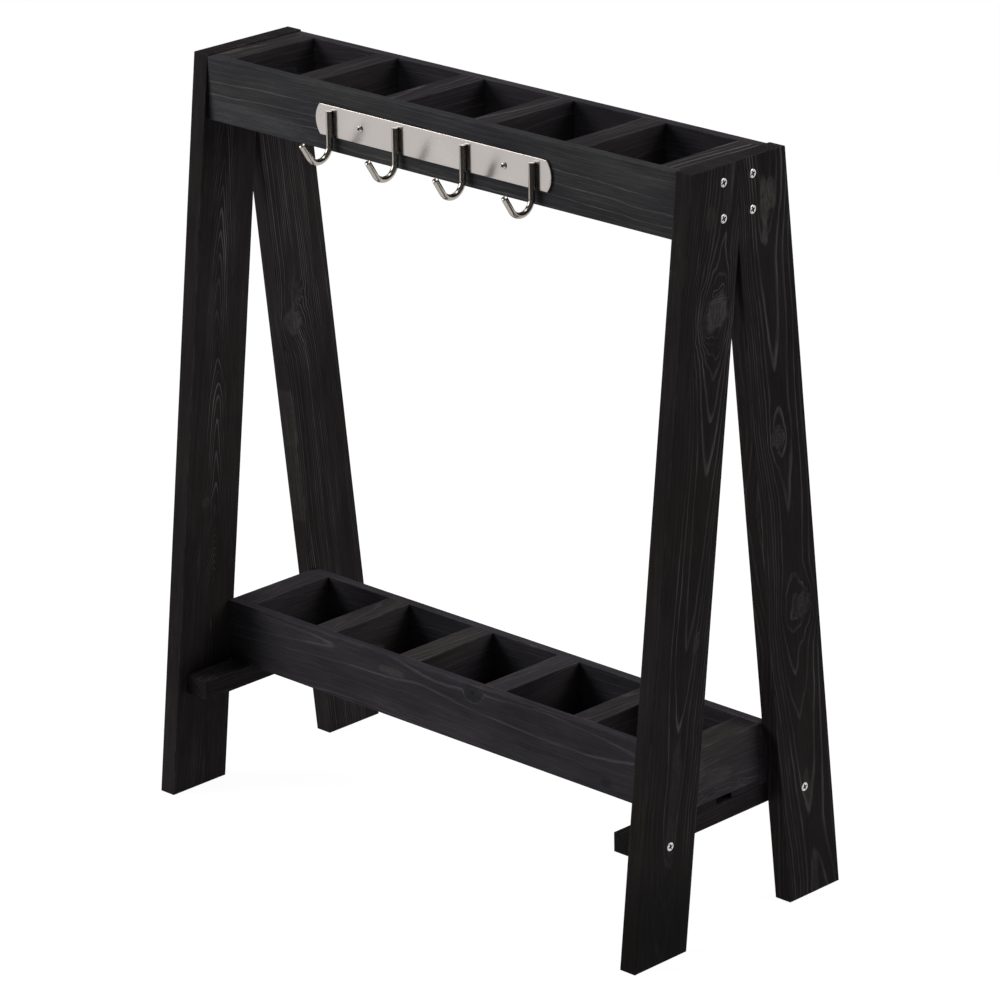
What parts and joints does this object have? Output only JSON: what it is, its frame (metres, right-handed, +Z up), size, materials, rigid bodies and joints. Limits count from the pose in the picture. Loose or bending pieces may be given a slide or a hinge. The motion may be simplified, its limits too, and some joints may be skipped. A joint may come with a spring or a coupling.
{
  "type": "garden tool rack",
  "caption": "Freestanding black-stained timber rack for long-handled garden tools, with splayed legs, an open upper box, a floored lower box and a steel hook rail.",
  "frame": {"origin": "centre of the bounding box's underside, on the ground between the four feet", "axes": "+Z up, +X along the rack to its right end as seen from the hook side, -Y towards the side with the hooks"},
  "size_m": [0.734, 0.328, 0.85],
  "materials": {
    "stained_wood": "black translucent stain, satin, with the grain showing",
    "brushed_steel": "brushed stainless sheet",
    "polished_steel": "polished stainless rod",
    "screw_steel": "bright zinc-plated"
  },
  "bodies": {
    "root": {"leg_front_left": "stained_wood", "leg_front_right": "stained_wood", "leg_back_left": "stained_wood", "leg_back_right": "stained_wood", "upper_front_board": "stained_wood", "upper_back_board": "stained_wood", "upper_end_board_left": "stained_wood", "upper_end_board_right": "stained_wood", "upper_divider_1": "stained_wood", "upper_divider_2": "stained_wood", "upper_divider_3": "stained_wood", "upper_divider_4": "stained_wood", "lower_front_board": "stained_wood", "lower_back_board": "stained_wood", "lower_end_board_left": "stained_wood", "lower_end_board_right": "stained_wood", "lower_divider_1": "stained_wood", "lower_divider_2": "stained_wood", "lower_divider_3": "stained_wood", "lower_divider_4": "stained_wood", "floor_slat_front": "stained_wood", "floor_slat_back": "stained_wood", "batten_left": "stained_wood", "batten_right": "stained_wood", "hook_plate": "brushed_steel", "hook_1": "polished_steel", "hook_2": "polished_steel", "hook_3": "polished_steel", "hook_4": "polished_steel", "plate_screw_left": "screw_steel", "plate_screw_right": "screw_steel", "top_screw_left_front_upper": "screw_steel", "top_screw_left_front_lower": "screw_steel", "top_screw_left_back_upper": "screw_steel", "top_screw_left_back_lower": "screw_steel", "top_screw_right_front_upper": "screw_steel", "top_screw_right_front_lower": "screw_steel", "top_screw_right_back_upper": "screw_steel", "top_screw_right_back_lower": "screw_steel", "batten_screw_left_front": "screw_steel", "batten_screw_left_back": "screw_steel", "batten_screw_right_front": "screw_steel", "batten_screw_right_back": "screw_steel", "floor_screw_left_front": "screw_steel", "floor_screw_left_back": "screw_steel", "floor_screw_right_front": "screw_steel", "floor_screw_right_back": "screw_steel"}
  },
  "joints": []
}
